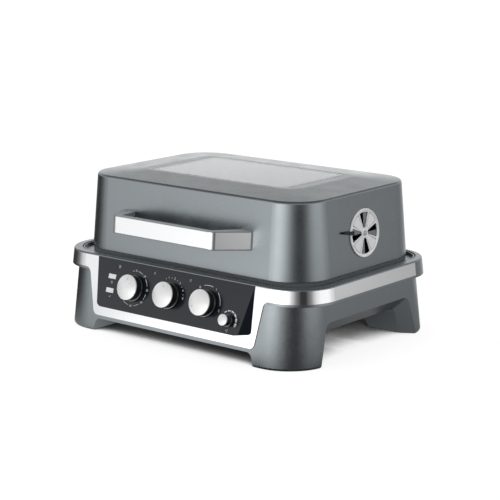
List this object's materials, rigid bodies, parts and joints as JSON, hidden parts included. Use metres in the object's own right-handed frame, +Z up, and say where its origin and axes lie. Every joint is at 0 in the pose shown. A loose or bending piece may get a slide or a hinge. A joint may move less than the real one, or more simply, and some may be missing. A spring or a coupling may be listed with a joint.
{
  "type": "electric table grill",
  "caption": "Electric table grill with a hinged lid with a window, a round side vent damper, a dial panel, a lift-out plate and a drip tray.",
  "frame": {"origin": "on the table, under the middle of the rim", "axes": "+Z up, +X to the right of someone who stands in front of it, the front looks along -Y"},
  "size_m": [0.52, 0.4168, 0.2518],
  "materials": {
    "graphite_paint": "satin dark grey paint",
    "lid_paint": "satin dark grey paint",
    "bright_trim": "polished",
    "panel_charcoal": "fine satin charcoal",
    "lens_white": "clear white",
    "dial_black": "matte black",
    "dial_cap": "satin silver",
    "window_glass": "tinted, clear",
    "seal_rubber": "matte black",
    "handle_frame": "satin grey",
    "handle_bright": "brushed",
    "vent_metal": "satin",
    "steel": "zinc plated",
    "hinge_steel": "satin dark grey paint",
    "plate_iron": "non-stick black",
    "pan_steel": "dull",
    "element_steel": "dark oxide",
    "tray_metal": "satin dark enamel",
    "black_plastic": "matte black",
    "nylon_white": "plain",
    "loom_sleeve": "woven sleeve",
    "cover_paint": "satin dark grey paint"
  },
  "bodies": {
    "base": {"base_shell": "graphite_paint", "rim_frame": "graphite_paint", "trim_band": "bright_trim", "bottom_cover": "cover_paint", "cover_screws": "steel", "rim_screws": "steel", "foot_pads": "seal_rubber", "control_panel": "panel_charcoal", "indicator_lenses": "lens_white", "indicator_lamps": "nylon_white", "timer_unit": "nylon_white", "thermostat_unit": "nylon_white", "function_switch": "black_plastic", "blower_control": "black_plastic", "panel_nuts": "steel", "hinge_brackets": "hinge_steel", "hinge_pins": "steel", "lid_seal": "seal_rubber", "inner_pan": "pan_steel", "heating_element": "element_steel", "heat_reflector": "pan_steel", "element_clamps": "steel", "temperature_probe": "steel", "tray_rails": "black_plastic", "blower_housing": "black_plastic", "blower_motor": "steel", "power_inlet": "black_plastic", "inlet_screws": "steel", "terminal_block": "nylon_white", "wiring_loom": "loom_sleeve", "loom_clips": "nylon_white"},
    "lid": {"lid_shell": "lid_paint", "window_gasket": "seal_rubber", "window_glass": "window_glass", "handle_grip": "handle_frame", "handle_facings": "handle_bright", "handle_screws": "steel", "vent_rivet": "steel", "lid_hinges": "hinge_steel", "leaf_screws": "steel"},
    "vent_damper": {"vent_damper": "vent_metal", "vent_lever": "black_plastic"},
    "drip_tray": {"drip_tray": "tray_metal", "tray_pull": "tray_metal"},
    "grill_plate": {"grill_plate": "plate_iron"},
    "impeller": {"blower_impeller": "nylon_white", "impeller_shaft": "steel"},
    "timer_dial": {"timer_dial": "dial_black", "timer_dial_cap": "dial_cap", "timer_dial_shaft": "steel"},
    "temperature_dial": {"temperature_dial": "dial_black", "temperature_dial_cap": "dial_cap", "temperature_dial_shaft": "steel"},
    "function_dial": {"function_dial": "dial_black", "function_dial_cap": "dial_cap", "function_dial_shaft": "steel"},
    "blower_dial": {"blower_dial": "dial_black", "blower_dial_cap": "dial_cap", "blower_dial_shaft": "steel"}
  },
  "joints": [
    {"name": "lid_hinge", "type": "hinge", "parent": "base", "child": "lid", "pos_m": [0, 0.183, 0.14], "axis": [-1, 0, 0], "range_deg": [0, 88]},
    {"name": "vent_turn", "type": "hinge", "parent": "lid", "child": "vent_damper", "pos_m": [0.22967, 0.006, 0.182], "axis": [0.9969, 0, 0.0788], "range_deg": [-25, 20]},
    {"name": "timer_dial_turn", "type": "hinge", "parent": "base", "child": "timer_dial", "pos_m": [-0.075, -0.18609, 0.08323], "axis": [0, 0.9563, -0.2924], "range_deg": [0, 300]},
    {"name": "temperature_dial_turn", "type": "hinge", "parent": "base", "child": "temperature_dial", "pos_m": [0, -0.18609, 0.08323], "axis": [0, 0.9563, -0.2924], "range_deg": [0, 270]},
    {"name": "function_dial_turn", "type": "hinge", "parent": "base", "child": "function_dial", "pos_m": [0.075, -0.18609, 0.08323], "axis": [0, 0.9563, -0.2924], "range_deg": [0, 240]},
    {"name": "blower_dial_turn", "type": "hinge", "parent": "base", "child": "blower_dial", "pos_m": [0.124, -0.1915, 0.06553], "axis": [0, 0.9563, -0.2924], "range_deg": [0, 150]},
    {"name": "tray_slide", "type": "slide", "parent": "base", "child": "drip_tray", "axis": [0, 1, 0], "range_m": [0, 0.2]},
    {"name": "plate_lift", "type": "slide", "parent": "base", "child": "grill_plate", "axis": [0, 0, 1], "range_m": [0, 0.01]},
    {"name": "impeller_spin", "type": "hinge", "parent": "base", "child": "impeller", "pos_m": [0.0375, -0.139, 0.03], "axis": [0, 0, 1], "continuous": true}
  ]
}
